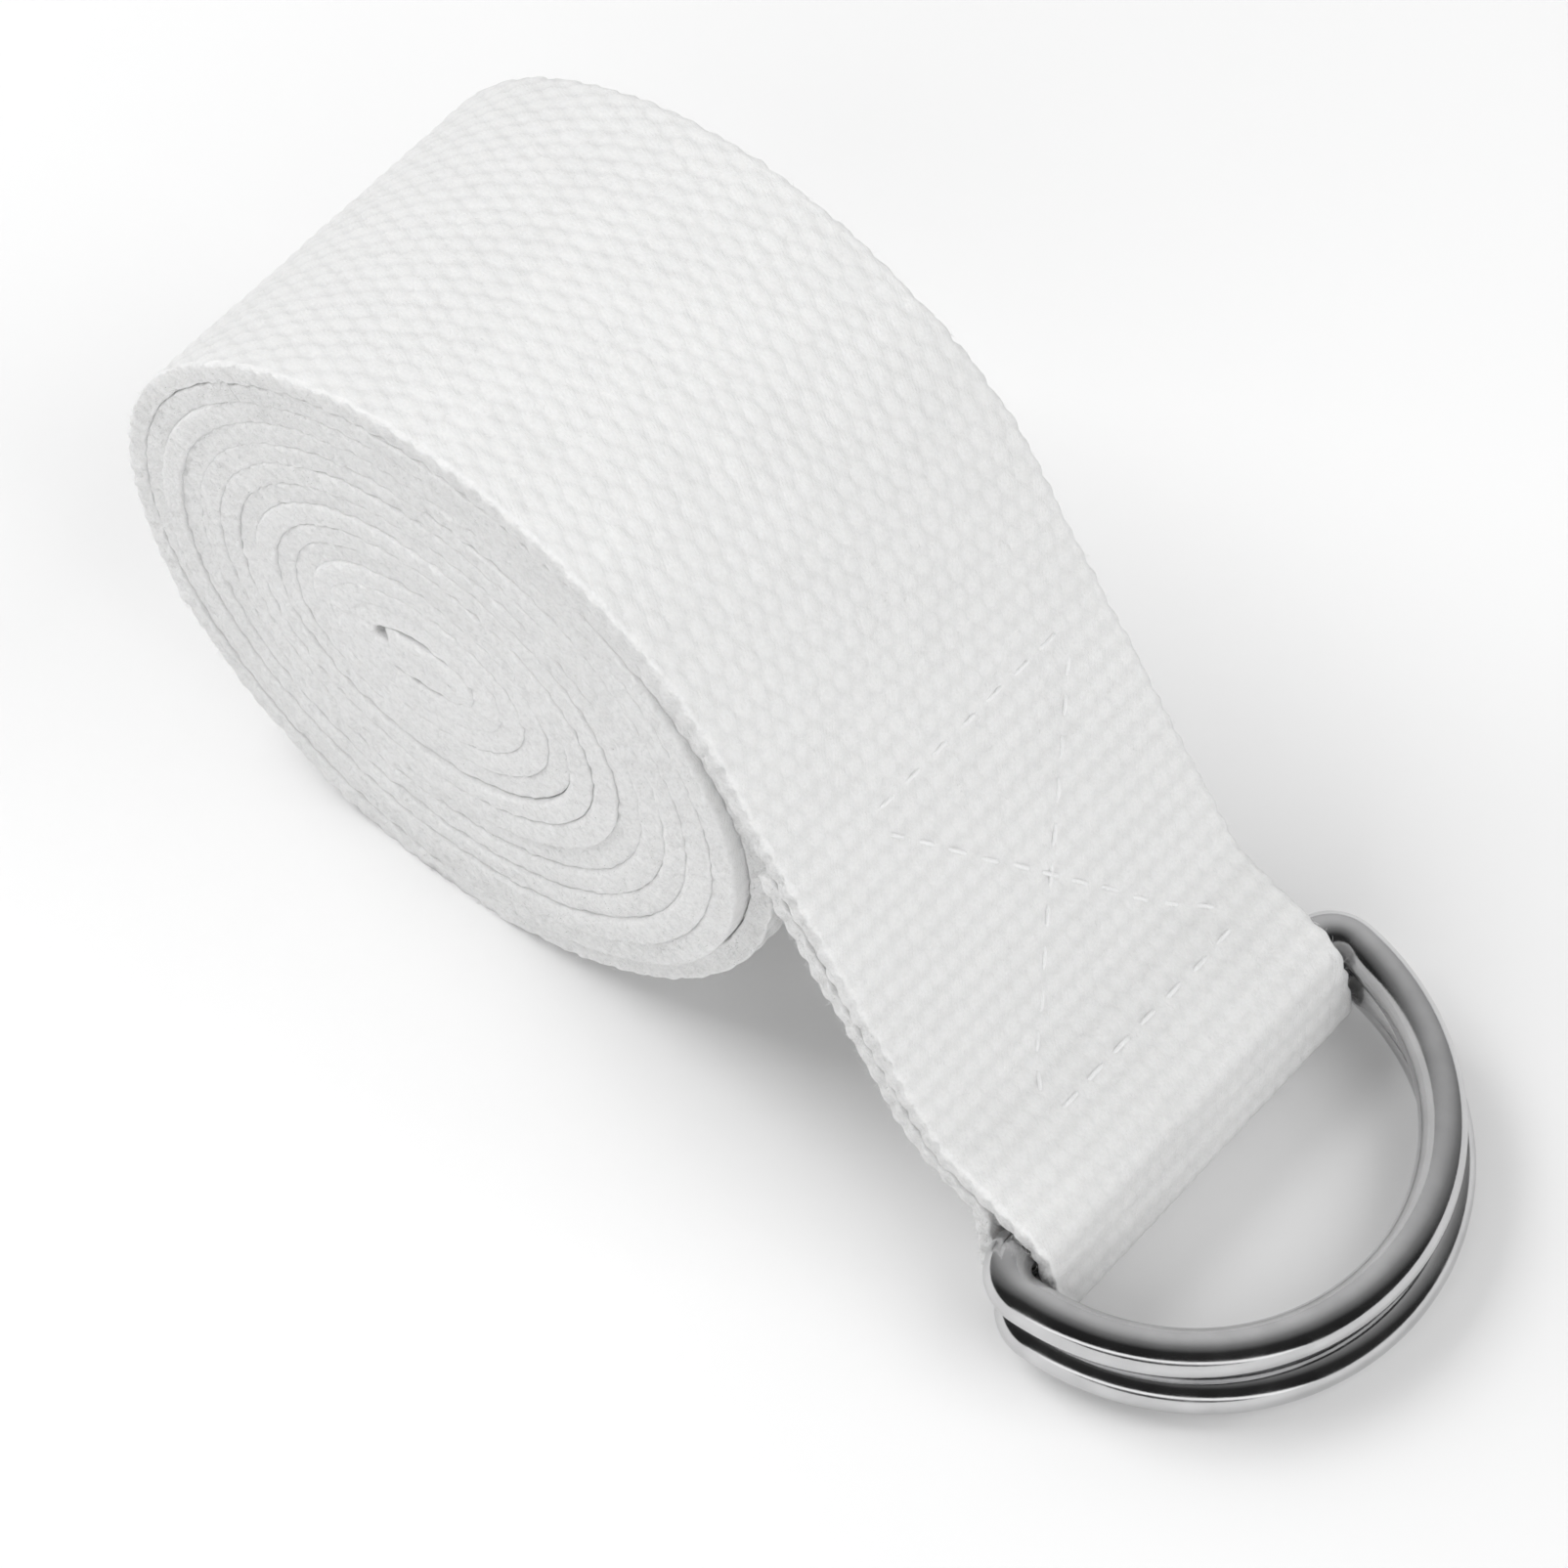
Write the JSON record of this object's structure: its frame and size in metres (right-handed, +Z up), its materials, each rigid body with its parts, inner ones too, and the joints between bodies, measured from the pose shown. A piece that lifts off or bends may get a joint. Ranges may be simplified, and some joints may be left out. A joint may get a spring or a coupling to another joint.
{
  "type": "stretching_strap",
  "caption": "Long flat webbing strap wound into an oval roll, its tail folded back and stitched around two D-shaped rings that close it into a loop",
  "frame": {"origin": "centre of the footprint, on the surface the strap stands on", "axes": "X along the tail towards the rings, Y across the webbing, Z up"},
  "size_m": [0.1208, 0.047, 0.0613],
  "materials": {
    "cotton_webbing": "matte plain weave, slightly fuzzy",
    "plated_steel": "polished",
    "sewing_thread": "satin thread"
  },
  "bodies": {
    "strap": {"rolled_webbing": "cotton_webbing", "ring_end_webbing": "cotton_webbing", "box_stitch_needle_thread": "sewing_thread", "box_stitch_bobbin_thread": "sewing_thread", "hem_stitch_needle_thread": "sewing_thread", "hem_stitch_bobbin_thread": "sewing_thread"},
    "upper_ring": {"upper_d_ring": "plated_steel"},
    "lower_ring": {"lower_d_ring": "plated_steel"}
  },
  "joints": [
    {"name": "upper_ring_swing", "type": "hinge", "parent": "strap", "child": "upper_ring", "pos_m": [0.0341, 0, 0.0084], "axis": [0, -1, 0], "range_deg": [0, 120]},
    {"name": "lower_ring_swing", "type": "hinge", "parent": "strap", "child": "lower_ring", "pos_m": [0.0355, 0, 0.00395], "axis": [0, -1, 0], "range_deg": [-100, 0]}
  ]
}
